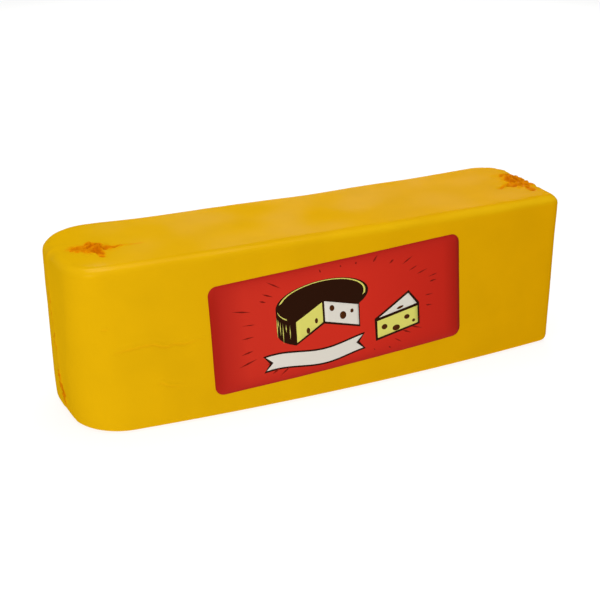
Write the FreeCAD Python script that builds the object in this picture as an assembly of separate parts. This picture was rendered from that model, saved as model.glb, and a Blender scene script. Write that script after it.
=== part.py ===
import FreeCAD, Part
import math
import os

from FreeCAD import Vector

# A loaf of young gouda: a long block of cheese in its yellow coat, shrink-wrapped in
# clear film, with one printed label stuck flat on its front.
#
# The loaf is pressed in a mould with rounded corners and then matured on its side, so
# nothing on it is quite straight. Near the base the front bows out, the back is drawn
# in a little, the top sags, and the left end leans in towards the base.
#
# The film is a tube that shrank over the loaf. Its open ends were drawn together, so
# each end of the loaf carries a lap of film that runs up the end, turns over the top
# edge and finishes in a crumpled knot with tapered pleats all round.
#
# +X runs along the loaf to its right end, +Y to its back, +Z up. The origin is at the
# middle of the base.

# ---- The loaf ----------------------------------------------------------------------

length = 320.0
depth = 82.0
height = 100.5

# A bow is the rise of a side's arc from the straight line between its corners, outwards
# if positive. A tuck draws a corner in, and belly is how far the sides swell halfway up.
front_bow_base = 7.9
front_bow_top = 0.6
front_tuck_left = 2.7
front_tuck_right = 2.0
back_bow = -4.4
left_lean = 3.4
left_bow = 1.5
right_slant = 6.0
right_bow = 0.6
belly = 0.8
top_sag = 1.0

# Radii of the upright corners, at the base and at the top.
front_left_radii = (32.0, 18.0)
back_left_radii = (25.0, 32.0)
back_right_radii = (16.0, 21.0)
front_right_radii = (5.5, 6.5)

top_edge_radius = 5.4
base_edge_radius = 4.5

# ---- The film's laps and knots -------------------------------------------------------

# A lap runs straight down from the top edge and swings over to its foot near the base.
# Its hook is 1 for a straight slope, and the nearer to 0, the later it swings.
lap_width = 5.5
lap_rise = 0.5
lap_hook = 0.25
lap_foot_height = 9.0
left_lap_top_from_middle = 3.0
left_lap_foot_from_middle = -6.0
right_lap_top_from_middle = 4.0
right_lap_foot_from_middle = -2.0

# A knot lies folded over one way, and its fold heading is that way's angle from +X.
left_knot_from_end = 26.0
left_knot_from_middle = -6.0
left_fold_heading = -17.0
left_knot_length = 14.0
right_knot_from_end = 9.5
right_knot_from_middle = 3.0
right_fold_heading = 85.0
right_knot_length = 25.0

knot_rise = 2.1
folds_in_knot = 4
fold_spacing = 2.0
fold_half_width = 3.6
fold_skew = 10.0
fold_drop = 0.35

pleats_at_knot = 8
pleats_at_foot = 5
pleat_reach = 16.0
pleat_rise = 1.6
pleat_half_width = 3.2
pleat_tip_half_width = 0.9
pleat_tip_sink = 0.3
pleat_depth = 2.5
pleat_unevenness = 0.4
pleat_wander = 9.0
reach_across_fold = 0.55
foot_sweep = 230.0
foot_share = 0.5

# ---- The label -----------------------------------------------------------------------

label_length = 163.6
label_height = 66.4
label_thickness = 0.3
label_corner_radius = 5.5
label_tilt = 2.7
label_from_middle = -1.9
label_from_base = 50.5

# Spare length that lets a tool body pass clean through what it cuts.
overshoot = 20.0

# How near two heights count as one when an edge is looked up by its place.
level_margin = 1.0

# How many stretches an edge of a lap is drawn through, and the step in radians that
# makes one fold differ from the next.
lap_steps = 5
wander_step = 2.6

left_x = -length / 2
right_x = length / 2
front_y = -depth / 2
back_y = depth / 2
up = Vector(0, 0, 1)


def side(start, end, bow):
    """One side of an outline: an arc that leaves its chord outwards by bow."""
    outwards = (end - start).normalize().cross(up)
    middle = (start + end) * 0.5 + outwards * bow
    return Part.Arc(start, middle, end).toShape()


def end_x(direction, y):
    """How far along the loaf an end's corners put it, for a place across the loaf."""
    slant = right_slant * (back_y - y) / depth if direction > 0 else 0.0
    return direction * length / 2 - slant


def outline(level):
    """The loaf's closed outline at a level that runs from 0, the base, to 1, the top."""
    nearness_to_base = 1.0 - level
    swell = 4.0 * belly * level * nearness_to_base
    front_bow = front_bow_base * nearness_to_base + front_bow_top * level
    z = height * level
    lean = left_lean * nearness_to_base
    tuck_left = front_tuck_left * nearness_to_base
    tuck_right = front_tuck_right * nearness_to_base
    front_left = Vector(left_x + lean, front_y + tuck_left, z)
    front_right = Vector(end_x(1, front_y), front_y + tuck_right, z)
    back_right = Vector(right_x, back_y, z)
    back_left = Vector(left_x + lean, back_y, z)
    return Part.Wire([
        side(front_left, front_right, front_bow + swell),
        side(front_right, back_right, right_bow + swell),
        side(back_right, back_left, back_bow + swell),
        side(back_left, front_left, left_bow + swell),
    ])


def upright_edge(solid, x_side, y_side):
    """The tall edge of a block in the quarter that two signs give."""
    for edge in solid.Edges:
        middle = edge.CenterOfMass
        is_tall = edge.BoundBox.ZLength > height - level_margin
        if is_tall and middle.x * x_side > 0 and middle.y * y_side > 0:
            return edge
    raise ValueError("the block has no upright edge in that quarter")


def round_upright(solid, x_side, y_side, radii):
    """Round one upright corner with a radius that changes evenly from base to top."""
    edge = upright_edge(solid, x_side, y_side)
    starts_low = edge.Vertexes[0].Point.z < edge.Vertexes[-1].Point.z
    first, last = radii if starts_low else reversed(radii)
    return solid.makeFillet(first, last, [edge])


def edges_between(solid, low, high):
    """The edges that lie wholly between two heights."""
    return [e for e in solid.Edges if e.BoundBox.ZMin > low and e.BoundBox.ZMax < high]


def space_above_top():
    """The space over the sagging top, whose underside is one long shallow arc."""
    left = Vector(left_x - overshoot, front_y - overshoot, height)
    middle = Vector(0, front_y - overshoot, height - top_sag)
    right = Vector(right_x + overshoot, front_y - overshoot, height)
    rise = up * overshoot
    profile = Part.Wire([
        Part.Arc(left, middle, right).toShape(),
        Part.makeLine(right, right + rise),
        Part.makeLine(right + rise, left + rise),
        Part.makeLine(left + rise, left),
    ])
    return Part.Face(profile).extrude(Vector(0, depth + 2 * overshoot, 0))


def pressed_loaf():
    """Three outlines lofted, the corners rounded, the top sagged and the edges rolled."""
    block = Part.makeLoft([outline(0.0), outline(0.5), outline(1.0)], True)
    block = round_upright(block, -1, -1, front_left_radii)
    block = round_upright(block, -1, 1, back_left_radii)
    block = round_upright(block, 1, 1, back_right_radii)
    block = round_upright(block, 1, -1, front_right_radii)
    block = block.cut(space_above_top())
    foot = edges_between(block, -level_margin, level_margin)
    block = block.makeFillet(base_edge_radius, foot)
    rim = edges_between(block, height - top_sag - level_margin, height + level_margin)
    return block.makeFillet(top_edge_radius, rim)


def raised(loaf, region, move):
    """The loaf's own form inside a region, moved outwards, so that it stands proud there."""
    return loaf.translated(move).common(region)


def lap_edge(top_y, foot_y, offset):
    """One long edge of a lap, seen from the end of the loaf."""
    points = []
    for step in range(lap_steps + 1):
        share = step / lap_steps
        z = lap_foot_height + (height - lap_foot_height) * share
        points.append(Vector(0, foot_y + (top_y - foot_y) * share ** lap_hook + offset, z))
    curve = Part.BSplineCurve()
    curve.interpolate(points)
    return curve.toShape(), points[0], points[-1]


def lap_up_end(direction, top_y, foot_y):
    """The space that a lap takes at the end of the loaf, from its foot to above the top."""
    front_edge, front_foot, front_top = lap_edge(top_y, foot_y, -lap_width / 2)
    back_edge, back_foot, back_top = lap_edge(top_y, foot_y, lap_width / 2)
    rise = up * overshoot
    face = Part.Face(Part.Wire([
        front_edge,
        Part.makeLine(front_top, front_top + rise),
        Part.makeLine(front_top + rise, back_top + rise),
        Part.makeLine(back_top + rise, back_top),
        back_edge,
        Part.makeLine(back_foot, front_foot),
    ]))
    start_x = end_x(direction, top_y) - direction * 2 * top_edge_radius
    face.translate(Vector(start_x, 0, 0))
    return face.extrude(Vector(direction * (2 * top_edge_radius + overshoot), 0, 0))


def lap_over_top(direction, knot_x, knot_y, top_y):
    """The space that a lap takes on the top, from the knot to the end's rolled edge."""
    half = Vector(0, lap_width / 2, 0)
    at_knot = Vector(knot_x, knot_y, height / 2)
    edge_x = end_x(direction, top_y) - direction * top_edge_radius
    at_edge = Vector(edge_x, top_y, height / 2)
    corners = [at_knot - half, at_edge - half, at_edge + half, at_knot + half, at_knot - half]
    return Part.Face(Part.makePolygon(corners)).extrude(up * height)


def end_lap(loaf, direction, knot_x, knot_y, top_y, foot_y):
    """The film's lap: up one end of the loaf and over the top as far as the knot."""
    region = lap_up_end(direction, top_y, foot_y)
    region = region.fuse(lap_over_top(direction, knot_x, knot_y, top_y))
    return raised(loaf, region, Vector(direction * lap_rise, 0, lap_rise))


def surface_point(loaf, outside, inwards):
    """Where a ray that starts outside the loaf first meets its surface."""
    ray = Part.makeLine(outside, outside + inwards)
    crossing = loaf.common(ray)
    return min((corner.Point for corner in crossing.Vertexes), key=outside.distanceToPoint)


def crease_section(ridge_point, sideways, outwards, half_width, sink):
    """One cross-section of a fold: a triangle whose ridge is a point on the film."""
    foot = ridge_point - outwards * sink
    corners = [ridge_point, foot + sideways * half_width, foot - sideways * half_width]
    return Part.makePolygon(corners + corners[:1])


def pleat(centre, heading, outwards, strength, reach):
    """One fold of film: a sharp ridge, highest at the knot, that sinks as it runs out."""
    sideways = outwards.cross(heading)
    high = centre + outwards * pleat_rise * strength
    low = centre + heading * reach - outwards * pleat_tip_sink
    return Part.makeLoft([
        crease_section(high, sideways, outwards, pleat_half_width * strength, pleat_depth),
        crease_section(low, sideways, outwards, pleat_tip_half_width, pleat_depth),
    ], True, True)


def wandering(number, swing):
    """An uneven amount between -swing and swing that differs from one fold to the next."""
    return swing * math.sin(wander_step * number)


def turned(heading, outwards, degrees):
    """A heading turned on the surface that outwards points away from."""
    return FreeCAD.Rotation(outwards, degrees).multVec(heading)


def fan(centre, first_heading, outwards, sweep, count, reach_along):
    """Pleats that spread from one place, each with its own heading, strength and reach.

    reach_along gives how far a pleat may run along a heading.
    """
    pleats = []
    for number in range(count):
        turn = sweep * number / count + wandering(number, pleat_wander)
        heading = turned(first_heading, outwards, turn)
        strength = 1.0 - abs(wandering(number, pleat_unevenness))
        pleats.append(pleat(centre, heading, outwards, strength, reach_along(heading) * strength))
    return pleats


def fold(middle, heading, outwards, half_length, rise):
    """One fold across a knot: a sharp ridge that sinks to a tip each way."""
    sideways = outwards.cross(heading)
    sections = []
    for along in (-1, 0, 1):
        is_middle = along == 0
        height_here = rise if is_middle else -pleat_tip_sink
        half_width = fold_half_width if is_middle else pleat_tip_half_width
        ridge_point = middle + heading * half_length * along + outwards * height_here
        sections.append(crease_section(ridge_point, sideways, outwards, half_width, pleat_depth))
    return Part.makeLoft(sections, True, True)


def knot(centre, fold_line, outwards, knot_length):
    """The crumpled end of the film: folds pressed flat side by side, each one skewed."""
    across = outwards.cross(fold_line)
    folds = []
    for number in range(folds_in_knot):
        place = number - (folds_in_knot - 1) / 2
        skew = fold_skew if number % 2 else -fold_skew
        middle = centre + across * place * fold_spacing
        middle += fold_line * wandering(number, fold_spacing)
        rise = knot_rise - fold_drop * abs(place)
        heading = turned(fold_line, outwards, skew)
        folds.append(fold(middle, heading, outwards, knot_length / 2, rise))
    return folds


def gather(loaf, direction, knot_x, knot_y, fold_heading, knot_length, lap_top_y, lap_foot_y):
    """All the film drawn together at one end: lap, knot, and a fan of pleats round each end."""
    end_wards = Vector(direction, 0, 0)
    fold_line = turned(Vector(1, 0, 0), up, fold_heading)
    flat_length = abs(end_x(direction, knot_y) - knot_x) - top_edge_radius

    def reach_on_top(heading):
        alignment = heading.dot(fold_line) ** 2
        reach = pleat_reach * (reach_across_fold + (1.0 - reach_across_fold) * alignment)
        towards_end = heading.dot(end_wards)
        return min(reach, flat_length / towards_end) if towards_end > 0 else reach

    def reach_at_foot(heading):
        return pleat_reach * foot_share

    top_centre = surface_point(loaf, Vector(knot_x, knot_y, 2 * height), -up * 2 * height)
    foot_outside = Vector(direction * length, lap_foot_y, lap_foot_height)
    foot_centre = surface_point(loaf, foot_outside, -end_wards * length)
    first_at_foot = turned(-up, end_wards, -foot_sweep / 2)
    pieces = [end_lap(loaf, direction, knot_x, knot_y, lap_top_y, lap_foot_y)]
    pieces += knot(top_centre, fold_line, up, knot_length)
    pieces += fan(top_centre, fold_line, up, 360.0, pleats_at_knot, reach_on_top)
    pieces += fan(foot_centre, first_at_foot, end_wards, foot_sweep, pleats_at_foot, reach_at_foot)
    return pieces


def wrapped_loaf(loaf):
    """The loaf and its film as one solid, each piece of film joined on in turn."""
    film = gather(
        loaf, -1, end_x(-1, left_knot_from_middle) + left_knot_from_end,
        left_knot_from_middle, left_fold_heading, left_knot_length,
        left_lap_top_from_middle, left_lap_foot_from_middle,
    )
    film += gather(
        loaf, 1, end_x(1, right_knot_from_middle) - right_knot_from_end,
        right_knot_from_middle, right_fold_heading, right_knot_length,
        right_lap_top_from_middle, right_lap_foot_from_middle,
    )
    for piece in film:
        loaf = loaf.fuse(piece)
    return loaf


def label_region():
    """The label's rounded rectangle, drawn on its tilt and run through the loaf's front."""
    sheet = Part.makeBox(label_length, depth, label_height)
    sheet.translate(Vector(-label_length / 2, 0, -label_height / 2))
    corners = [e for e in sheet.Edges if e.BoundBox.YLength > depth / 2]
    sheet = sheet.makeFillet(label_corner_radius, corners)
    sheet.rotate(Vector(0, 0, 0), Vector(0, 1, 0), -label_tilt)
    sheet.translate(Vector(label_from_middle, front_y - depth / 2, label_from_base))
    return sheet


def label(loaf):
    """The printed sticker, which follows the bow of the front."""
    return raised(loaf, label_region(), Vector(0, -label_thickness, 0)).cut(loaf)


def middle_of_base(shape):
    """The point on the base under the middle of a shape's exact box."""
    box = shape.optimalBoundingBox(False, False)
    return Vector(box.Center.x, box.Center.y, box.ZMin)


def only_solid(shape, name):
    """The one solid that a node must be."""
    if len(shape.Solids) != 1:
        raise ValueError(f"{name} came out as {len(shape.Solids)} solids")
    return shape.Solids[0]


def main():
    os.makedirs("parts", exist_ok=True)
    bare = only_solid(pressed_loaf(), "the pressed loaf")
    parts = {
        "loaf": only_solid(wrapped_loaf(bare), "loaf"),
        "label": only_solid(label(bare), "label"),
    }
    to_origin = -middle_of_base(parts["loaf"])
    print(f"moved by {to_origin.x:.2f}, {to_origin.y:.2f}, {to_origin.z:.2f} mm to the origin")
    for name, solid in parts.items():
        solid = solid.translated(to_origin)
        solid.exportStep(f"parts/{name}.step")
        print(f"{name}: {solid.Volume / 1000:.2f} cm3, sound: {solid.isValid()}")


main()
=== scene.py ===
# %% [markdown]
# # A loaf of gouda in shrink film
#
# The object is a long block of young gouda. It wears a yellow coat, it is wrapped in
# clear film that shrank on to it, and one red label lies flat on its front. The packed
# model already holds the loaf's true form and the label's place, so this lesson only
# adds what the eye looks for: the film's small waves and creases, the knots where its
# ends were drawn together, the printed label, and the finish of each surface.

# %% Load the frame
import math
import random

import bmesh
import bpy
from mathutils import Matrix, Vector, noise
from mathutils.bvhtree import BVHTree


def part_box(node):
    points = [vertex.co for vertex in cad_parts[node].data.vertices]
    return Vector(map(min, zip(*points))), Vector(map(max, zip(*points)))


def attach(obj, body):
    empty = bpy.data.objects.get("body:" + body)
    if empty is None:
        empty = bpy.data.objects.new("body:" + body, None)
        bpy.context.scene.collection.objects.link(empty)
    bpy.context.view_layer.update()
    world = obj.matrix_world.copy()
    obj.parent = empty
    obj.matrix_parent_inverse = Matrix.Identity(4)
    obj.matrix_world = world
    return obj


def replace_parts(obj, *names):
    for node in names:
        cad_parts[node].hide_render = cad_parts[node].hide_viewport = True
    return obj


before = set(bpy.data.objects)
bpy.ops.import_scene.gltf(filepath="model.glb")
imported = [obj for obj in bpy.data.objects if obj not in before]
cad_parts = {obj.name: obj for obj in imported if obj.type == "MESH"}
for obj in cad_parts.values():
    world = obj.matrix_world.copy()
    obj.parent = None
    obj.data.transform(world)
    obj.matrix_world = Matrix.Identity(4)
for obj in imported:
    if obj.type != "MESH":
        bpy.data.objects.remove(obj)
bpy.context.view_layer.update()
loaf_low, loaf_high = (Vector(corner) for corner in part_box("loaf"))
label_low, label_high = (Vector(corner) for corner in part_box("label"))
print("loaf box, mm:", [round(side * 1000, 1) for side in loaf_high - loaf_low])

# %% [markdown]
# ## Millimetres and paint-card colours
#
# Lengths are easiest to think about in millimetres and colours in the hex codes of a
# paint card. One value and one short function turn them into Blender's metres and
# linear light.

# %% Units and colours
MM = 0.001


def linear(hex_code):
    """An sRGB hex colour as linear red, green, blue and a full alpha."""
    channels = [int(hex_code[i:i + 2], 16) / 255 for i in (1, 3, 5)]
    return tuple(c / 12.92 if c <= 0.04045 else ((c + 0.055) / 1.055) ** 2.4 for c in channels) + (1.0,)


print("the coat's yellow in linear light:", [round(channel, 3) for channel in linear("#dca908")])

# %% [markdown]
# ## The camera
#
# The block is seen from its front left and a little above, from about three quarters
# of a metre. A long lens keeps its edges nearly parallel, so that its shape is plain.

# %% Camera
CAMERA_PLACE = Vector((-314.15, -629.6, 330.7)) * MM
CAMERA_DOWN = math.radians(22.20)
CAMERA_TURN = math.radians(25.95)

camera_data = bpy.data.cameras.new("camera")
camera_data.sensor_width = 36.0
camera_data.lens = 74.04
camera = bpy.data.objects.new("camera", camera_data)
camera.location = CAMERA_PLACE
camera.rotation_euler = (math.pi / 2 - CAMERA_DOWN, 0.0, -CAMERA_TURN)
bpy.context.scene.collection.objects.link(camera)
bpy.context.scene.camera = camera
bpy.context.scene.view_settings.view_transform = "Standard"
bpy.context.scene.view_settings.look = "None"
print("camera", round(camera.location.length, 3), "m from the middle of the base")

# %% [markdown]
# ## A white sheet to stand on
#
# Small goods are often shown on a light table: a sheet of white opal acrylic lit from
# below, so that no dark shadow forms under the block and the table bounces soft light on
# to its sides. The sheet is the first material here, so the helpers for nodes come
# first. Opal acrylic is matt and even and needs no pattern. Its glow makes it white, so
# its base colour stays dim, and the lamps hardly change it.

# %% White opal sheet
def add_node(material, kind, inputs=None, stops=(), **settings):
    """Add a node, set its properties and a ramp's stops, and give each input a value or a link."""
    tree = material.node_tree
    node = tree.nodes.new(kind)
    for name, value in settings.items():
        setattr(node, name, value)
    for name, value in (inputs or {}).items():
        if isinstance(value, bpy.types.NodeSocket):
            tree.links.new(value, node.inputs[name])
        else:
            node.inputs[name].default_value = value
    for _ in stops[2:]:  # a new ramp already has two
        node.color_ramp.elements.new(0.5)
    for number, (position, colour) in enumerate(stops):
        node.color_ramp.elements[number].position = position
        node.color_ramp.elements[number].color = linear(colour)
    return node


def new_material(name):
    """A material without nodes, for the nodes of a lesson step."""
    material = bpy.data.materials.new(name)
    material.use_nodes = True
    material.node_tree.nodes.clear()
    return material


def finish_material(material, shader):
    """Send a shader to the material's surface."""
    add_node(material, "ShaderNodeOutputMaterial", {"Surface": shader.outputs["BSDF"]})
    print("material:", material.name, "-", len(material.node_tree.nodes), "nodes")


sheet = new_material("white opal acrylic of the light table")
finish_material(sheet, add_node(sheet, "ShaderNodeBsdfPrincipled", {
    "Base Color": linear("#868684"),
    "Roughness": 0.9,
    "Specular IOR Level": 0.0,
    "Emission Color": linear("#ffffff"),
    "Emission Strength": 0.83,
}))

# %% [markdown]
# The table is one large square, a hair below the base of the block, so that the two
# flat faces never lie in the same plane and flicker.

# %% Light table
TABLE_SIZE = 60.0
TABLE_GAP = 0.05 * MM

table_shape = bmesh.new()
bmesh.ops.create_grid(table_shape, x_segments=1, y_segments=1, size=TABLE_SIZE / 2)
bmesh.ops.translate(table_shape, vec=(0.0, 0.0, -TABLE_GAP), verts=table_shape.verts)
table_mesh = bpy.data.meshes.new("light_table")
table_shape.to_mesh(table_mesh)
table_shape.free()
table_mesh.materials.append(sheet)
table = bpy.data.objects.new("light_table", table_mesh)
bpy.context.scene.collection.objects.link(table)
print("light table:", TABLE_SIZE, "m across")

# %% [markdown]
# ## Light
#
# A broad soft box overhead lights the top, a smaller one low at the front left gives the
# slow fade along the front, and one behind draws the film's sheen on the top. A dim
# white room round them fills the rest.

# %% Room and soft boxes
world = bpy.data.worlds.new("white studio room")
world.use_nodes = True
world.node_tree.nodes["Background"].inputs["Color"].default_value = linear("#ffffff")
world.node_tree.nodes["Background"].inputs["Strength"].default_value = 0.22
bpy.context.scene.world = world


def soft_box(name, place, aim, width, power):
    """A square soft box of a given width in metres and power in watts, turned to face a point."""
    lamp_data = bpy.data.lights.new(name, "AREA")
    lamp_data.shape = "SQUARE"
    lamp_data.size = width
    lamp_data.energy = power
    lamp = bpy.data.objects.new(name, lamp_data)
    lamp.location = place
    lamp.rotation_euler = (Vector(aim) - Vector(place)).to_track_quat("-Z", "Y").to_euler()
    lamp.visible_camera = False
    bpy.context.scene.collection.objects.link(lamp)
    print("soft box:", name, "-", power, "W")


soft_box("overhead", (0.0, 0.0, 1.5), (0.0, 0.0, 0.1), 1.2, 16.0)
soft_box("low front left", (-0.57, -0.68, 0.31), (-0.1, 0.0, 0.05), 0.42, 3.2)
soft_box("behind", (0.62, 1.25, 0.5), (0.0, 0.0, 0.1), 0.8, 5.5)

# %% [markdown]
# ## The wrapped loaf
#
# The film clings all over, so coat and film are modelled as one skin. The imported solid
# is made of long thin triangles that can't bend, so a net of even quads is laid on it:
# a box cut into cells, each corner of a cell sent outwards from the core of the loaf
# until it meets the solid. The net can then take every wave and crease of the film.

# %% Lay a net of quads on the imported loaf
CELL = 1.7 * MM
CORE_MARGIN = Vector((36.0, 36.0, 9.0)) * MM
WELD = 0.001 * MM


def merged_copy(node):
    """A node's triangles as a bmesh with shared corners."""
    shape = bmesh.new()
    shape.from_mesh(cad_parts[node].data)
    bmesh.ops.remove_doubles(shape, verts=shape.verts, dist=WELD)
    return shape


def box_net(low, high, cell):
    """A closed box whose faces are cut into square cells."""
    net = bmesh.new()
    bmesh.ops.create_cube(net, size=1.0)
    bmesh.ops.scale(net, vec=high - low, verts=net.verts)
    bmesh.ops.translate(net, vec=(low + high) / 2, verts=net.verts)
    for axis in range(3):
        side = (high - low)[axis]
        along = [e for e in net.edges if abs(e.verts[0].co[axis] - e.verts[1].co[axis]) > side / 2]
        cuts = round(side / cell) - 1
        bmesh.ops.subdivide_edges(net, edges=along, cuts=cuts, use_grid_fill=True)
    return net


packed_loaf = merged_copy("loaf")
packed_skin = BVHTree.FromBMesh(packed_loaf)
packed_loaf.free()
skin = box_net(loaf_low, loaf_high, CELL)
core_low, core_high = loaf_low + CORE_MARGIN, loaf_high - CORE_MARGIN
for vert in skin.verts:
    core = Vector(min(max(c, low), high) for c, low, high in zip(vert.co, core_low, core_high))
    vert.co = packed_skin.ray_cast(core, vert.co - core)[0]
print("net:", len(skin.verts), "corners,", len(skin.faces), "cells")

# %% [markdown]
# ## Where the film was drawn together
#
# The film was a tube. At each end its mouth was gathered, folded up the end and over the
# top edge, and pressed down in a knot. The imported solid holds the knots, their pleats
# and the laps, so this step only says where they lie, to work on the net there.

# %% Knots and laps
KNOTS = [Vector((loaf_low.x + 28.0 * MM, -3.0 * MM)), Vector((loaf_high.x - 13.5 * MM, 6.0 * MM))]
KNOT_ZONE = 21.0 * MM
KNOT_DEPTH = 7.0 * MM
LAP_ZONE = 10.0 * MM
LAP_DEPTH = 12.0 * MM
LAP_FOOT = 9.0 * MM
LAP_TOP_Y = 6.5 * MM
LAP_SWING = 9.0 * MM
LAP_BEND = 0.25


def clamp(value, low=0.0, high=1.0):
    """The value, kept between low and high."""
    return min(high, max(low, value))


def lap_middle(z):
    """Where a lap runs across the end at a height: straight down, then over to its foot."""
    share = clamp((z - LAP_FOOT) / (loaf_high.z - LAP_FOOT))
    return LAP_TOP_Y - LAP_SWING * (1.0 - share ** LAP_BEND)


def near_knot(point):
    """True on the part of the top that the knots and their pleats take."""
    from_knot = min((point.xy - knot).length for knot in KNOTS)
    return point.z > loaf_high.z - KNOT_DEPTH and from_knot < KNOT_ZONE


def near_lap(point):
    """True on the ends, beside the laps."""
    from_end = min(point.x - loaf_low.x, loaf_high.x - point.x)
    return from_end < LAP_DEPTH and abs(point.y - lap_middle(point.z)) < LAP_ZONE


def near_gather(point):
    """True wherever the film was drawn together."""
    return near_knot(point) or near_lap(point)


print("corners near the gathers:", sum(near_gather(vert.co) for vert in skin.verts))

# %% [markdown]
# ## Creases on the front
#
# A few sharp creases run along the front near its left corner, where the film folded as
# it shrank. Each is a line of points with a height, and a point of the film only has to
# know how far it lies above or below the nearest line.

# %% Creases
# points along and up from the left end of the base, and the height, in millimetres
CREASES = [
    ([(20.5, 50.4), (24.5, 51.0), (31.0, 51.6), (39.5, 52.4), (45.3, 52.3), (49.5, 50.2),
      (52.6, 49.6), (56.2, 50.7), (62.3, 49.6), (69.0, 50.4), (76.0, 51.2)], 0.34),
    ([(45.9, 28.4), (48.9, 27.9), (53.0, 25.4), (60.7, 23.8)], 0.22),
    ([(16.0, 65.2), (20.0, 65.5)], 0.25),
]
CREASE_ZONE = 3.5
CREASES_END = 82.0
FRONT_FROM_Y = -20.0 * MM


def beside(place, start, end):
    """The share of a straight line reached beside a place, and the step from there to the place."""
    line = Vector(end) - Vector(start)
    share = clamp((place - Vector(start)).dot(line) / line.length_squared)
    return share, place - Vector(start) - line * share


def from_path(along, up, path):
    """How far a point lies above a line of points, and the share of the path reached."""
    best, reached = math.inf, 0.0
    for number, (start, end) in enumerate(zip(path, path[1:])):
        share, offset = beside(Vector((along, up)), start, end)
        if offset.length < abs(best):
            best = math.copysign(offset.length, offset.y)
            reached = (number + share) / (len(path) - 1)
    return best, reached


def near_crease(point):
    """True on the front, beside a crease."""
    along, up = (point.x - loaf_low.x) / MM, point.z / MM
    if point.y > FRONT_FROM_Y or along > CREASES_END:
        return False
    return min(abs(from_path(along, up, path)[0]) for path, _ in CREASES) < CREASE_ZONE


print("corners near the creases:", sum(near_crease(vert.co) for vert in skin.verts))

# %% [markdown]
# ## A finer net where it folds
#
# The net's cells are too large to follow knots and creases. So the net is smoothed flat
# at the gathers and cut finer, and then a ray goes straight down from above each corner
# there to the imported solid. How far the solid stands above the smooth net is kept on the
# corner as the height of the folds.

# %% Refine the net and measure the folds
SMOOTH_PASSES = 12
PROBE = 8.0 * MM

bunched = [vert for vert in skin.verts if near_gather(vert.co)]
for _ in range(SMOOTH_PASSES):
    bmesh.ops.smooth_vert(skin, verts=bunched, factor=0.5, use_axis_x=True, use_axis_y=True, use_axis_z=True)
for zone in (near_gather, near_knot, near_crease, near_crease):
    edges = [edge for edge in skin.edges if zone(edge.verts[0].co) and zone(edge.verts[1].co)]
    bmesh.ops.subdivide_edges(skin, edges=edges, cuts=1, use_grid_fill=True)
skin.normal_update()
rise_layer = skin.verts.layers.float.new("film_rise")
for vert in skin.verts:
    if near_gather(vert.co):
        hit = packed_skin.ray_cast(vert.co + vert.normal * PROBE, -vert.normal)[0]
        if hit is not None:
            vert[rise_layer] = (hit - vert.co).dot(vert.normal)
print("net after refining:", len(skin.verts), "corners")
print("highest fold, mm:", round(max(vert[rise_layer] for vert in skin.verts) / MM, 2))

# %% [markdown]
# ## Waves and creases
#
# Shrink film is never quite flat. Broad waves come from the cheese below, small ones
# from the film, and a rolled edge, which film can't follow in one piece, has waves of its
# own. A crease is a lip of film over a groove, and it tapers off at both ends. Its groove
# is painted deeper orange, a painted shade.

# %% Waves and creases of the film
BROAD_WAVE, BROAD_RISE, BROAD_SHIFT = 40.0 * MM, 0.40 * MM, Vector((3.1, 0.0, 0.0))
SMALL_WAVE, SMALL_RISE, SMALL_SHIFT = 14.0 * MM, 0.10 * MM, Vector((0.0, 7.7, 0.0))
EDGE_WAVE, EDGE_RISE, EDGE_SHIFT = 24.0 * MM, 0.55 * MM, Vector((0.0, 0.0, 9.4))
# across a crease, in millimetres: how wide lip and groove are, how far the lip lies above
# its line and the groove below, and then the share of its length over which it tapers
CREASE_WIDTH = 0.8
CREASE_LIP = 0.7
CREASE_GROOVE = 0.4
CREASE_TAPER = 0.2


def smoothstep(low, high, value):
    """0 below low, 1 above high, and a soft slope between."""
    share = clamp((value - low) / (high - low))
    return share * share * (3.0 - 2.0 * share)


def band(value, start, full, fade, end):
    """0 up to start, 1 from full to fade, and 0 again from end."""
    return smoothstep(start, full, value) * (1.0 - smoothstep(fade, end, value))


def wave(point, normal):
    """How far the film's gentle waves lift it, along its normal."""
    broad = noise.noise(point / BROAD_WAVE + BROAD_SHIFT)
    small = noise.noise(point / SMALL_WAVE + SMALL_SHIFT)
    edge = band(normal.z, 0.35, 0.65, 0.75, 0.97) * noise.noise(point / EDGE_WAVE + EDGE_SHIFT)
    return BROAD_RISE * broad + SMALL_RISE * small + EDGE_RISE * edge


def creased(point, normal):
    """Rise of the film at the front's creases, a lip over a groove, and the painted shade of the groove."""
    rise, groove_shade = 0.0, 0.0
    if normal.y < -0.5 and near_crease(point):
        for path, height in CREASES:
            above, reached = from_path((point.x - loaf_low.x) / MM, point.z / MM, path)
            ends = min(1.0, min(reached, 1.0 - reached) / CREASE_TAPER + 0.1)
            lip = math.exp(-((above - CREASE_LIP) / CREASE_WIDTH) ** 2)
            groove = math.exp(-((above + CREASE_GROOVE) / CREASE_WIDTH) ** 2)
            rise += height * ends * (lip - groove) * MM
            groove_shade = max(groove_shade, ends * groove * height)
    return rise, groove_shade


lifts = [wave(vert.co, vert.normal) / MM for vert in skin.verts]
print("waves from", round(min(lifts), 2), "to", round(max(lifts), 2), "mm")

# %% [markdown]
# ## Gathers
#
# Folded film lies several layers thick, and it looks more orange there. Each gather's
# thick places are listed as strokes. The strokes drive both the coat's colour and how
# much the film crumples, and a noise frays their outlines, because bunched film has no
# smooth edge. Each stroke is made thicker along its front side, where its deeper orange
# is painted shade of the fold. The noise is seeded, so that the film folds the same on
# every run.

# %% How thick the film is gathered
FILM_SEED = 6
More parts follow.
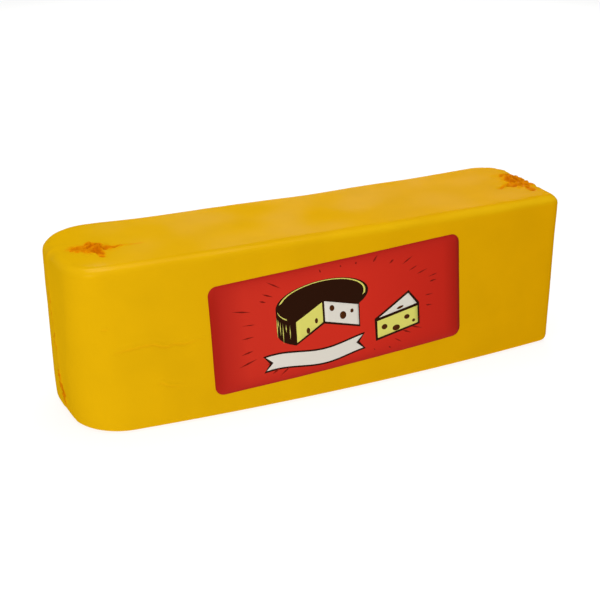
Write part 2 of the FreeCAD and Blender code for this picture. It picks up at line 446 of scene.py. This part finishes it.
# start and end in millimetres from the knot, half width at both, and how thick the film is
LEFT_STROKES = [
    ((-5.0, -2.0), (-13.5, 0.5), 8.0, 7.0, 0.9), ((-6.0, -2.0), (-8.5, -7.0), 6.0, 5.0, 0.85),
    ((-3.0, 6.0), (-2.0, -7.0), 5.0, 5.2, 1.05), ((-3.0, 6.0), (-2.0, 11.0), 3.4, 1.2, 0.6),
    ((-2.0, -7.0), (-3.5, -14.0), 4.6, 3.0, 0.75), ((1.0, -3.0), (11.0, -3.5), 4.4, 2.8, 0.85),
    ((10.0, -3.5), (24.0, -3.0), 2.6, 1.0, 0.5), ((-9.0, 0.5), (5.0, -3.0), 11.0, 9.0, 0.26),
]
RIGHT_STROKES = [
    ((1.5, 9.0), (-2.0, -6.0), 5.8, 6.4, 0.9), ((2.0, 4.0), (-3.0, -12.0), 6.6, 7.4, 1.0),
    ((-4.0, -8.0), (-17.0, -13.0), 4.6, 1.4, 0.7), ((-1.0, -12.0), (0.0, -26.0), 6.0, 3.2, 0.95),
    ((3.0, 6.0), (5.0, -14.0), 5.2, 4.6, 0.9), ((-1.0, 10.0), (-3.0, -16.0), 10.0, 10.0, 0.26),
]
# the same on both ends, as millimetres across the end and up from the base
END_STROKES = [
    ((6.8, 74.0), (6.2, 62.0), 2.6, 1.6, 0.5), ((5.6, 52.0), (4.8, 40.0), 2.8, 2.2, 0.6),
    ((4.0, 27.0), (2.0, 15.0), 2.2, 3.8, 0.95), ((1.5, 15.0), (-4.5, 7.0), 3.6, 1.2, 0.85),
    ((5.5, 98.0), (6.0, 62.0), 1.0, 1.4, 0.3), ((6.0, 62.0), (3.5, 26.0), 1.2, 1.6, 0.35),
]
STROKES_REACH = 30.0
END_REACH = 18.0 * MM
STROKE_CORE, STROKE_RIM = 0.3, 1.1  # shares of the half width: full up to one, none past the other
# painted shade: how much thicker, and so more orange, a stroke is along its front side
STROKE_FRONT_SHADE = 0.3
LARGE_FRAY, LARGE_FRAY_MOVE = 7.0 * MM, 1.9
SMALL_FRAY, SMALL_FRAY_MOVE = 2.5 * MM, 0.8
END_FRAY_SHARE = 0.6


def stroke_amount(place, stroke):
    """How thick one stroke makes the film at a place: most along its front side, as painted shade."""
    start, end, start_width, end_width, thickness = stroke
    share, offset = beside(place, start, end)
    width = start_width + (end_width - start_width) * share
    inside = 1.0 - smoothstep(STROKE_CORE, STROKE_RIM, offset.length / width)
    return thickness * inside * (1.0 - STROKE_FRONT_SHADE * clamp(offset.y / width, -1.0))


def gathered(point, normal):
    """How thick the film is gathered at a place, from 0 to about 1, with ragged edges."""
    amounts = [0.0]
    ragged = LARGE_FRAY_MOVE * noise.noise_vector(point / LARGE_FRAY)
    ragged += SMALL_FRAY_MOVE * noise.noise_vector(point / SMALL_FRAY)
    for knot, strokes in zip(KNOTS, (LEFT_STROKES, RIGHT_STROKES)):
        place = (point.xy - knot) / MM + ragged.xy
        if place.length < STROKES_REACH and normal.z > 0.0:
            facing = smoothstep(0.1, 0.5, normal.z)
            amounts += [facing * stroke_amount(place, stroke) for stroke in strokes]
    if abs(normal.x) > 0.3 and abs(point.y) < END_REACH:
        facing = smoothstep(0.3, 0.7, abs(normal.x))
        place = point.yz / MM + END_FRAY_SHARE * ragged.yz
        amounts += [facing * stroke_amount(place, stroke) for stroke in END_STROKES]
    return max(amounts)


noise.seed_set(FILM_SEED)
print("gathered corners:", sum(gathered(vert.co, vert.normal) > 0.1 for vert in skin.verts))

# %% [markdown]
# ## Tight film and a painted edge highlight
#
# The film spans the sagging top tight and glossy, in patches, and clings dull to the
# sides. Over a rolled edge the yellow coat is painted lighter, a painted highlight,
# most of all along the right half of the loaf. Both are amounts for the coat's finish.

# %% Gloss and painted edge highlight
FILM_PATCH = 24.0 * MM
GLOSS_SHIFT, EDGE_HIGHLIGHT_SHIFT = Vector((5.2, 0.0, 1.3)), Vector((0.0, 2.6, 8.1))
TIGHT_CORNER = Vector((loaf_low.x + 17.5 * MM, -38.0 * MM, loaf_high.z - 2.0 * MM))
TIGHT_SPREAD = 7.0 * MM
TIGHT_GLOSS = 1.6


def gloss(point, normal):
    """How glossy the film lies: below 1, but for the corner where it is drawn tight."""
    on_edge = 1.0 - smoothstep(0.8, 0.97, normal.z)
    from_left = smoothstep(12.0 * MM, 60.0 * MM, point.x - loaf_low.x)
    from_middle = smoothstep(0.0, 60.0 * MM, point.x)
    patches = 0.55 + point.x + 0.9 * noise.noise(point / FILM_PATCH + GLOSS_SHIFT)
    least = 0.12 + 0.35 * from_middle + 0.5 * on_edge
    spread = max(least, min(1.1, patches)) * max(from_left, on_edge)
    tight = TIGHT_GLOSS * math.exp(-((point - TIGHT_CORNER).length / TIGHT_SPREAD) ** 2)
    return smoothstep(0.3, 0.6, normal.z) * (spread * (0.3 + 0.12 * from_left + 0.58 * on_edge) + tight)


def edge_highlight(point, normal):
    """How much a painted highlight lightens the coat over a rolled edge."""
    along = 0.2 + 0.75 * smoothstep(-50.0 * MM, 10.0 * MM, point.x)
    patches = 0.45 * noise.noise(point / FILM_PATCH + EDGE_HIGHLIGHT_SHIFT)
    return band(normal.z, 0.0, 0.65, 0.86, 1.0) * max(0.0, along + patches)


print("gloss of the tight corner:", round(gloss(TIGHT_CORNER, Vector((0.0, 0.0, 1.0))), 2))

# %% [markdown]
# ## The film's surface
#
# Gathered film crumples into small facets that meet in sharp edges, which a ridged noise
# gives. The facets also paint the folded film's orange: lighter on their ridges, a painted
# highlight, and deeper in their hollows, a painted shade. All the heights are added up and
# each corner moves out along its normal. The moves fade away just above the base, which
# stays flat on the table.

# %% Move the net to the film's surface
CRUMPLE = 4.6 * MM
CRUMPLE_RISE = 1.7 * MM
CRUMPLE_SHAPE = (1.0, 2.2, 3, 1.0, 2.0)  # roughness, gap between octaves, octaves, offset, gain
CRUMPLE_MIDDLE = 0.9
FOOT_FADE = 6.0 * MM

folds_and_shade_layer = skin.verts.layers.float.new("film_folds_and_shade")
gloss_layer = skin.verts.layers.float.new("film_gloss")
edge_highlight_layer = skin.verts.layers.float.new("painted_edge_highlight")
moves = []
for vert in skin.verts:
    place, normal = vert.co, vert.normal
    amount = gathered(place, normal)
    facets = 0.0
    if amount > 0.0:
        facets = noise.ridged_multi_fractal(place / CRUMPLE, *CRUMPLE_SHAPE) - CRUMPLE_MIDDLE
    rise, groove_shade = creased(place, normal)
    # painted light: the crumple's ridges get less orange, a painted highlight, and its hollows more, a
    # painted shade
    crumple_shade = 0.9 - 0.3 * clamp(1.6 * facets, -0.6)
    # painted shade: the creases' grooves deepen the folded film's orange
    vert[folds_and_shade_layer] = min(1.0, amount * crumple_shade + 0.5 * groove_shade)
    vert[gloss_layer] = gloss(place, normal)
    # painted highlight: how much the coat is painted lighter over a rolled edge
    vert[edge_highlight_layer] = edge_highlight(place, normal)
    laid = vert[rise_layer] * (0.35 + 0.65 * min(1.0, 2.0 * amount))
    rise += laid + CRUMPLE_RISE * facets * min(1.0, amount) + wave(place, normal)
    moves.append(rise * smoothstep(0.0, FOOT_FADE, place.z))
for vert, move in zip(skin.verts, moves):
    vert.co += vert.normal * move
skin.normal_update()
film_surface = BVHTree.FromBMesh(skin)
print("folded film:", sum(vert[folds_and_shade_layer] > 0.5 for vert in skin.verts), "corners")

# %% [markdown]
# ## The coat's finish
#
# Young gouda is coated with yellow cheese plastic, a soft vinyl paint that is brushed on
# and dries satin. Its yellow leans a little to orange towards the right end, and where
# the brush left it thicker or thinner it is darker or lighter, in patches about 30 mm
# across. Over the rolled edges the coat is painted lighter, a painted highlight.

# %% Satin yellow cheese coat
COAT_PATCH = 30.0 * MM
COAT_FADE = 150.0 * MM

coat = new_material("yellow cheese coat under shrink film")
coat_place = add_node(coat, "ShaderNodeTexCoord")
coat_along = add_node(coat, "ShaderNodeSeparateXYZ", {"Vector": coat_place.outputs["Object"]})
coat_shade = add_node(coat, "ShaderNodeMapRange", {
    "Value": coat_along.outputs["X"],
    "From Min": -COAT_FADE,
    "From Max": COAT_FADE,
})
coat_colour = add_node(coat, "ShaderNodeMix", {
    0: coat_shade.outputs["Result"],
    6: linear("#dca908"),
    7: linear("#dba002"),
}, data_type="RGBA")
coat_edge_highlight = add_node(coat, "ShaderNodeAttribute", attribute_name="painted_edge_highlight")
# painted highlight: over the rolled edges the coat is mixed to a lighter yellow
coat_with_edge_highlight = add_node(coat, "ShaderNodeMix", {
    0: coat_edge_highlight.outputs["Fac"],
    6: coat_colour.outputs[2],
    7: linear("#e2b00a"),
}, data_type="RGBA")
coat_mottle = add_node(coat, "ShaderNodeTexNoise", {
    "Vector": coat_place.outputs["Object"],
    "Scale": 1.0 / COAT_PATCH,
    "Detail": 3.0,
})
coat_patches = add_node(coat, "ShaderNodeMapRange", {
    "Value": coat_mottle.outputs["Fac"],
    "From Min": 0.3,
    "From Max": 0.7,
    "To Min": 0.97,
    "To Max": 1.03,
})
coat_mottled = add_node(coat, "ShaderNodeVectorMath", {
    0: coat_with_edge_highlight.outputs[2],
    "Scale": coat_patches.outputs["Result"],
}, operation="SCALE")
print("coat so far:", len(coat.node_tree.nodes), "nodes")

# %% [markdown]
# The film over the coat is clear polyolefin, shrunk with hot air. One layer hardly tints
# the coat, but several folded layers take its yellow to a deep orange, so the amounts
# kept on the mesh choose the colour. The same amounts carry painted light too: a lighter
# orange on the crumple's ridges as painted highlight, and deeper orange in its hollows,
# in the creases' grooves and along the strokes' front sides as painted shade.

# %% Folded film over the coat
# the lightest stop serves the painted highlight on crumpled ridges, the deeper ones folded layers and
# painted shade
FOLDS_AND_SHADE_STOPS = [(0.2, "#e2a00c"), (0.55, "#de8a02"), (1.0, "#ca6e00")]

coat_folds_and_shade = add_node(coat, "ShaderNodeAttribute", attribute_name="film_folds_and_shade")
folds_and_shade_ramp = add_node(coat, "ShaderNodeValToRGB", {"Fac": coat_folds_and_shade.outputs["Fac"]}, FOLDS_AND_SHADE_STOPS)
folds_and_shade_share = add_node(coat, "ShaderNodeMapRange", {
    "Value": coat_folds_and_shade.outputs["Fac"],
    "From Min": 0.02,
    "From Max": 0.6,
})
folds_and_shade_colour = add_node(coat, "ShaderNodeMix", {
    0: folds_and_shade_share.outputs["Result"],
    6: coat_mottled.outputs["Vector"],
    7: folds_and_shade_ramp.outputs["Color"],
}, data_type="RGBA")
print("coat with folds:", len(coat.node_tree.nodes), "nodes")

# %% [markdown]
# Coat and film together look like satin vinyl, with a faint sheen of the coat's own
# yellow, which a trace of metallic gives. The plain specular is off, because it would
# mirror the white table as a grey veil over the ends. The clear gloss of tight film is a
# coat on top, strong only where the mesh says so. The film's grain is finer on the real
# block: it is drawn 2.4 mm coarse so that it shows.

# %% Grain, gloss and the finished coat
FILM_GRAIN = 2.4 * MM
FILM_GRAIN_DEPTH = 0.12 * MM
TIGHT_FILM_COAT = 0.12

film_grain = add_node(coat, "ShaderNodeTexNoise", {
    "Vector": coat_place.outputs["Object"],
    "Scale": 1.0 / FILM_GRAIN,
    "Detail": 4.0,
})
film_bump = add_node(coat, "ShaderNodeBump", {
    "Height": film_grain.outputs["Fac"],
    "Strength": 0.25,
    "Distance": FILM_GRAIN_DEPTH,
})
coat_gloss = add_node(coat, "ShaderNodeAttribute", attribute_name="film_gloss")
film_coat = add_node(coat, "ShaderNodeMath", {
    0: coat_gloss.outputs["Fac"],
    1: TIGHT_FILM_COAT,
}, operation="MULTIPLY")
finish_material(coat, add_node(coat, "ShaderNodeBsdfPrincipled", {
    "Base Color": folds_and_shade_colour.outputs[2],
    "Metallic": 0.03,
    "Roughness": 0.38,
    "IOR": 1.45,
    "Specular IOR Level": 0.0,
    "Specular Tint": linear("#ffd76a"),
    "Coat Weight": film_coat.outputs["Value"],
    "Coat Roughness": 0.2,
    "Coat IOR": 1.45,
    "Normal": film_bump.outputs["Normal"],
}))

# %% [markdown]
# The net is now a finished skin, so it becomes a mesh with the coat on it. It rides with
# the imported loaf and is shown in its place.

# %% The wrapped loaf
def finish_piece(shape, name, material):
    """Turn a bmesh into a shaded piece that rides with the loaf."""
    mesh = bpy.data.meshes.new(name)
    shape.to_mesh(mesh)
    triangles = sum(len(face.verts) - 2 for face in shape.faces)
    shape.free()
    mesh.shade_smooth()
    mesh.materials.append(material)
    piece = bpy.data.objects.new(name, mesh)
    bpy.context.scene.collection.objects.link(piece)
    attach(piece, "root")
    print("piece:", name, "-", triangles, "triangles")
    return piece


wrapped = finish_piece(skin, "film_wrapped_loaf", coat)
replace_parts(wrapped, "loaf")

# %% [markdown]
# ## The label
#
# The label is a thin printed sheet, cut with round corners and stuck on a little
# crooked. It is drawn flat first, in its own millimetres from its middle, and then laid
# on the film along the front, so that it follows every wave. A flat face can't bend, so
# the drawing is first cut along a lattice.

# %% Lay a flat drawing on the front
LABEL_TILT = math.radians(2.7)
LATTICE = 3.0
LATTICE_SNAP = 1e-5
BEFORE_FRONT_Y = -100.0 * MM
label_middle = (label_low + label_high) / 2


def cut_along_lattice(drawing):
    """Cut a flat drawing into cells, so that it can bend."""
    for axis in range(2):
        places = [vert.co[axis] for vert in drawing.verts]
        low, high = min(places), max(places)
        count = int((high - low) / LATTICE)
        across = Vector((1.0, 0.0, 0.0)) if axis == 0 else Vector((0.0, 1.0, 0.0))
        for number in range(1, count + 1):
            parts = drawing.verts[:] + drawing.edges[:] + drawing.faces[:]
            place = across * (low + (high - low) * number / (count + 1))
            bmesh.ops.bisect_plane(drawing, geom=parts, dist=LATTICE_SNAP, plane_co=place, plane_no=across)


def thicken(drawing, thickness):
    """Give a flat drawing that faces up a thickness, closed all round."""
    top = bmesh.ops.extrude_face_region(drawing, geom=drawing.faces[:])
    raised = [item for item in top["geom"] if isinstance(item, bmesh.types.BMVert)]
    bmesh.ops.translate(drawing, vec=(0.0, 0.0, thickness), verts=raised)
    bmesh.ops.recalc_face_normals(drawing, faces=drawing.faces)


def lay_on_front(drawing, lift):
    """Bend a drawing on to the film, lift millimetres above it, and keep its flat place."""
    flat_place = drawing.verts.layers.float_vector.new("label_place")
    for vert in drawing.verts:
        vert[flat_place] = vert.co
        along, above, out = vert.co
        x = label_middle.x + (along * math.cos(LABEL_TILT) - above * math.sin(LABEL_TILT)) * MM
        z = label_middle.z + (along * math.sin(LABEL_TILT) + above * math.cos(LABEL_TILT)) * MM
        film_y = film_surface.ray_cast(Vector((x, BEFORE_FRONT_Y, z)), Vector((0.0, 1.0, 0.0)))[0].y
        vert.co = Vector((x, film_y - (out + lift) * MM, z))


print("middle of the label, mm:", [round(place / MM, 1) for place in label_middle])

# %% [markdown]
# The stock is coated paper printed solid red, made a little darker towards the ends
# and the rims. A varnish over the print leaves it satin, so ink and paper share one
# finish.

# %% Red printed and varnished paper
LABEL_LENGTH = 163.6
LABEL_HEIGHT = 66.4
RIM_SHARPNESS = 8.0
RED_STOPS = [(0.0, "#a01c10"), (0.05, "#b5261b"), (0.13, "#c82f20"),
             (0.55, "#cd2d1e"), (0.93, "#c02518"), (1.0, "#a01b0f")]


def varnish(material, colour):
    """Finish a print as satin varnished paper, in one colour or a pattern of them."""
    finish_material(material, add_node(material, "ShaderNodeBsdfPrincipled", {
        "Base Color": colour,
        "Roughness": 0.42,
        "IOR": 1.48,
        "Specular IOR Level": 0.02,
    }))


label_red = new_material("red printed and varnished label paper")
red_place = add_node(label_red, "ShaderNodeAttribute", attribute_name="label_place")
red_parts = add_node(label_red, "ShaderNodeSeparateXYZ", {"Vector": red_place.outputs["Vector"]})
red_along = add_node(label_red, "ShaderNodeMapRange", {
    "Value": red_parts.outputs["X"],
    "From Min": -LABEL_LENGTH / 2,
    "From Max": LABEL_LENGTH / 2,
})
red_ink = add_node(label_red, "ShaderNodeValToRGB", {"Fac": red_along.outputs["Result"]}, RED_STOPS)
red_up = add_node(label_red, "ShaderNodeMath", {
    0: red_parts.outputs["Y"],
    1: LABEL_HEIGHT / 2,
}, operation="DIVIDE")
red_rim = add_node(label_red, "ShaderNodeMath", {
    0: red_up.outputs["Value"],
    1: RIM_SHARPNESS,
}, operation="POWER")
red_edged = add_node(label_red, "ShaderNodeMix", {
    0: red_rim.outputs["Value"],
    6: red_ink.outputs["Color"],
    7: linear("#b0231a"),
}, data_type="RGBA")
varnish(label_red, red_edged.outputs[2])

# %% [markdown]
# The sheet starts as one flat face. Its corners are rounded by a bevel, then it is cut,
# thickened and laid on the front.

# %% The label sheet
LABEL_CORNER = 5.5
LABEL_THICKNESS = 0.14

label_sheet = bmesh.new()
bmesh.ops.create_grid(label_sheet, x_segments=1, y_segments=1, size=0.5)
bmesh.ops.scale(label_sheet, vec=(LABEL_LENGTH, LABEL_HEIGHT, 1.0), verts=label_sheet.verts)
bmesh.ops.bevel(label_sheet, geom=label_sheet.verts[:], offset=LABEL_CORNER, segments=10,
                affect="VERTICES", profile=0.5, material=-1)
cut_along_lattice(label_sheet)
thicken(label_sheet, LABEL_THICKNESS)
lay_on_front(label_sheet, 0.0)
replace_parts(finish_piece(label_sheet, "label_sheet", label_red), "label")

# %% [markdown]
# ## The print
#
# The print is a plain dairy motif of this lesson's own: a wheel of cheese with a wedge
# cut out and lying beside it, a plain banner, and rays scratched round them as in a
# woodcut. Each colour of ink is one thin piece. Its shapes are drawn as flat closed
# curves, which Blender fills, so each needs only the points of its outline.

# %% Draw with ink
INK_THICKNESS = 0.02


def ink_finish(name, colour):
    """An offset printing ink under the label's varnish."""
    finish = new_material(name)
    varnish(finish, linear(colour))
    return finish


def ink(name, outlines, finish, layer):
    """Print filled outlines in one ink; a higher layer lies over a lower one."""
    drawing = bpy.data.curves.new(name, "CURVE")
    drawing.dimensions = "2D"
    drawing.fill_mode = "BOTH"
    for points in outlines:
        spline = drawing.splines.new("POLY")
        spline.points.add(len(points) - 1)
        spline.use_cyclic_u = True
        for point, (along, above) in zip(spline.points, points):
            point.co = (along, above, 0.0, 1.0)
    pen = bpy.data.objects.new(name + "_outline", drawing)
    shape = bmesh.new()
    shape.from_mesh(bpy.data.meshes.new_from_object(pen))
    bpy.data.objects.remove(pen)
    bmesh.ops.remove_doubles(shape, verts=shape.verts, dist=WELD / MM)
    cut_along_lattice(shape)
    thicken(shape, INK_THICKNESS)
    lay_on_front(shape, LABEL_THICKNESS + layer * INK_THICKNESS)
    finish_piece(shape, name, finish)


dark_brown = ink_finish("dark brown label ink", "#2a1206")
hole_brown = ink_finish("brown label ink of the holes", "#4a2408")
straw = ink_finish("yellow-green label ink", "#d8d268")
cream = ink_finish("cream label ink", "#dcd6ca")

# %% [markdown]
# The wheel is seen from a little above: an oval top over a rind. Two cut faces run from
# the middle of the top to its rim, where the wedge was taken out. All of it is dark
# brown, with the faces, two thin lines of light and some hatching printed over it.

# %% The wheel
WHEEL_X, WHEEL_Y = -12.0, 11.5
WHEEL_HALF_LENGTH, WHEEL_HALF_HEIGHT, WHEEL_RIND = 30.0, 12.0, 15.0
CUT_FROM, CUT_TO = -128, -38
RIM_STEP, LINE_STEP, HATCH_STEP = 10, 6, 7
INNER_SIZE = 0.97
FACE_GAP = 0.7
HATCH_HALF_WIDTH = 0.28


def on_rim(angle, drop=0.0, size=1.0):
    """A point of the wheel's rim at an angle in degrees, or straight below it."""
    turn = math.radians(angle)
    return (WHEEL_X + size * WHEEL_HALF_LENGTH * math.cos(turn),
            WHEEL_Y + size * WHEEL_HALF_HEIGHT * math.sin(turn) - drop)


def cut_face(side, angle, top_gap):
    """A cut face of the wheel, from its middle to its rim: side is -1 left and 1 right."""
    middle = WHEEL_X + side * FACE_GAP
    return [(middle, WHEEL_Y - top_gap), on_rim(angle, 0.9, INNER_SIZE),
            on_rim(angle, WHEEL_RIND - 1.2, INNER_SIZE), (middle, WHEEL_Y - WHEEL_RIND + 1.2)]


wheel = [on_rim(angle) for angle in range(CUT_TO, 180, RIM_STEP)] + [on_rim(180)]
wheel += [on_rim(angle, WHEEL_RIND) for angle in range(180, 360 + CUT_FROM, RIM_STEP)]
wheel += [on_rim(CUT_FROM, WHEEL_RIND), (WHEEL_X, WHEEL_Y - WHEEL_RIND), on_rim(CUT_TO, WHEEL_RIND)]
left_face = cut_face(-1, CUT_FROM, 1.5)
right_face = cut_face(1, CUT_TO, 1.2)
far_line = [on_rim(angle, -0.4, 0.90) for angle in range(CUT_TO + 22, 180 - 6, RIM_STEP)]
far_line += [on_rim(angle, -0.4, 0.94) for angle in range(170, CUT_TO + 20, -RIM_STEP)]
near_line = [on_rim(angle, 0.3, INNER_SIZE) for angle in range(186, 350 + CUT_FROM, LINE_STEP)]
near_line += [on_rim(angle, 1.0, INNER_SIZE) for angle in range(344 + CUT_FROM, 184, -LINE_STEP)]
hatching = []
for angle in range(188, 352 + CUT_FROM, HATCH_STEP):
    x, upper = on_rim(angle, 3.0)
    lower = on_rim(angle, 8.0 + 4.0 * (angle % 3))[1]
    belly = (upper + lower) / 2
    hatching.append([(x, upper), (x - HATCH_HALF_WIDTH, belly), (x, lower), (x + HATCH_HALF_WIDTH, belly)])
print("wheel:", len(wheel), "points,", len(hatching), "hatched lines")

# %% [markdown]
# The wedge lies beside the wheel with its cut side to the front, and the banner waves
# below them. The banner is printed twice: grown a little in brown, and over that in
# cream, so that it gets an outline.

# %% The wedge and the banner
BANNER_LEFT, BANNER_RIGHT, BANNER_Y = -50.0, 13.0, -22.0
BANNER_HALF_HEIGHT = 4.2
BANNER_WAVE = 1.8
BANNER_CELLS = 18
BANNER_NOTCH = 4.5
BANNER_RIM = 1.1
wedge_outline = [(21.5, -8.5), (45.5, 4.5), (52.5, -4.6), (52.5, -18.5), (21.8, -22.8)]
wedge_top = [(24.5, -8.4), (45.2, 2.8), (50.8, -4.9)]
wedge_side = [(23.2, -10.4), (51.2, -6.6), (51.2, -17.4), (23.2, -21.2)]


def banner(margin):
    """A waving banner with notched ends, grown by a margin."""
    left, right = BANNER_LEFT - 1.5 * margin, BANNER_RIGHT + 1.5 * margin
    half, notch = BANNER_HALF_HEIGHT + margin, BANNER_NOTCH - 0.5 * margin
    places = [left + (right - left) * number / BANNER_CELLS for number in range(BANNER_CELLS + 1)]
    middles = [(x, BANNER_Y + BANNER_WAVE * math.sin(math.radians(5.7 * x - 20.0))) for x in places]
    outline = [(x, y + half) for x, y in middles] + [(right - notch, middles[-1][1])]
    outline += [(x, y - half) for x, y in reversed(middles)] + [(left + notch, middles[0][1])]
    return outline


ink("ink_brown", [wheel, wedge_outline, banner(BANNER_RIM)], dark_brown, 0)
ink("ink_straw", [left_face, wedge_side, far_line, near_line] + hatching, straw, 1)
ink("ink_cream", [right_face, wedge_top, banner(0.0)], cream, 1)

# %% [markdown]
# The holes are ovals: nearly round on the cut faces that look to the front, and narrow
# on the slanting ones.

# %% The holes
OVAL_POINTS = 16


def oval(along, above, half_length, half_height, turn=0.0):
    """The outline of an oval, tilted by turn degrees."""
    tilt = math.radians(turn)
    points = []
    for number in range(OVAL_POINTS):
        angle = 2.0 * math.pi * number / OVAL_POINTS
        u, v = half_length * math.cos(angle), half_height * math.sin(angle)
        points.append((along + u * math.cos(tilt) - v * math.sin(tilt),
                       above + u * math.sin(tilt) + v * math.cos(tilt)))
    return points


ink("ink_holes", [
    oval(28.0, -15.0, 2.0, 1.7), oval(36.0, -17.4, 2.6, 1.9), oval(43.6, -12.0, 1.9, 1.5),
    oval(48.2, -15.4, 1.1, 1.0), oval(39.2, -5.0, 2.4, 0.8, 12), oval(-6.5, 5.0, 1.6, 1.9, 12),
    oval(0.5, -1.0, 2.1, 2.5, 12), oval(6.5, 0.5, 1.1, 1.3), oval(-17.0, -0.5, 1.0, 1.7),
    oval(-22.5, -5.5, 1.2, 1.9),
], hole_brown, 2)

# %% [markdown]
# The rays are short strokes that taper at both ends, set round an oval that leaves the
# motif free. A seeded number generator makes each one a little different, and the same
# on every run. A ray that would come too near the label's rim is left out.

# %% Scratched rays
RAY_SEED = 11
RAY_OVAL = Vector((56.0, 28.5))
RAY_LIMIT = Vector((77.0, 31.5))
# each fan's angles in degrees, and the size of its rays
RAY_FANS = [(range(148, 222, 7), 1.0), (range(-26, 40, 6), 0.8),
            (range(52, 134, 9), 0.7), ((-62, -54, -44, -36), 0.6)]

dice = random.Random(RAY_SEED)
rays = []
for angles, size in RAY_FANS:
    for angle in angles:
        turn = math.radians(angle + dice.uniform(-2.5, 2.5))
        heading = Vector((math.cos(turn), math.sin(turn)))
        sideways = abs(heading.x)
        start = 1.0 / math.hypot(heading.x / RAY_OVAL.x, heading.y / RAY_OVAL.y)
        start += dice.uniform(0.0, 7.0) * sideways
        length = size * dice.uniform(4.0, 12.0) * (0.35 + 0.65 * sideways)
        if abs(heading.y) * (start + length) < RAY_LIMIT.y and sideways * (start + length) < RAY_LIMIT.x:
            near, far = heading * start, heading * (start + length)
            swell = Vector((-heading.y, heading.x)) * dice.uniform(0.3, 0.6)
            belly = near.lerp(far, dice.uniform(0.3, 0.6))
            rays.append([tuple(near), tuple(belly - swell), tuple(far), tuple(belly + swell)])
print("rays:", len(rays))
ink("ink_dark_red", rays, ink_finish("dark red label ink", "#7e180e"), 0)

# %% [markdown]
# ## The end
#
# The looks must stay inside the imported box.

# %% The end
print("end of the lesson")
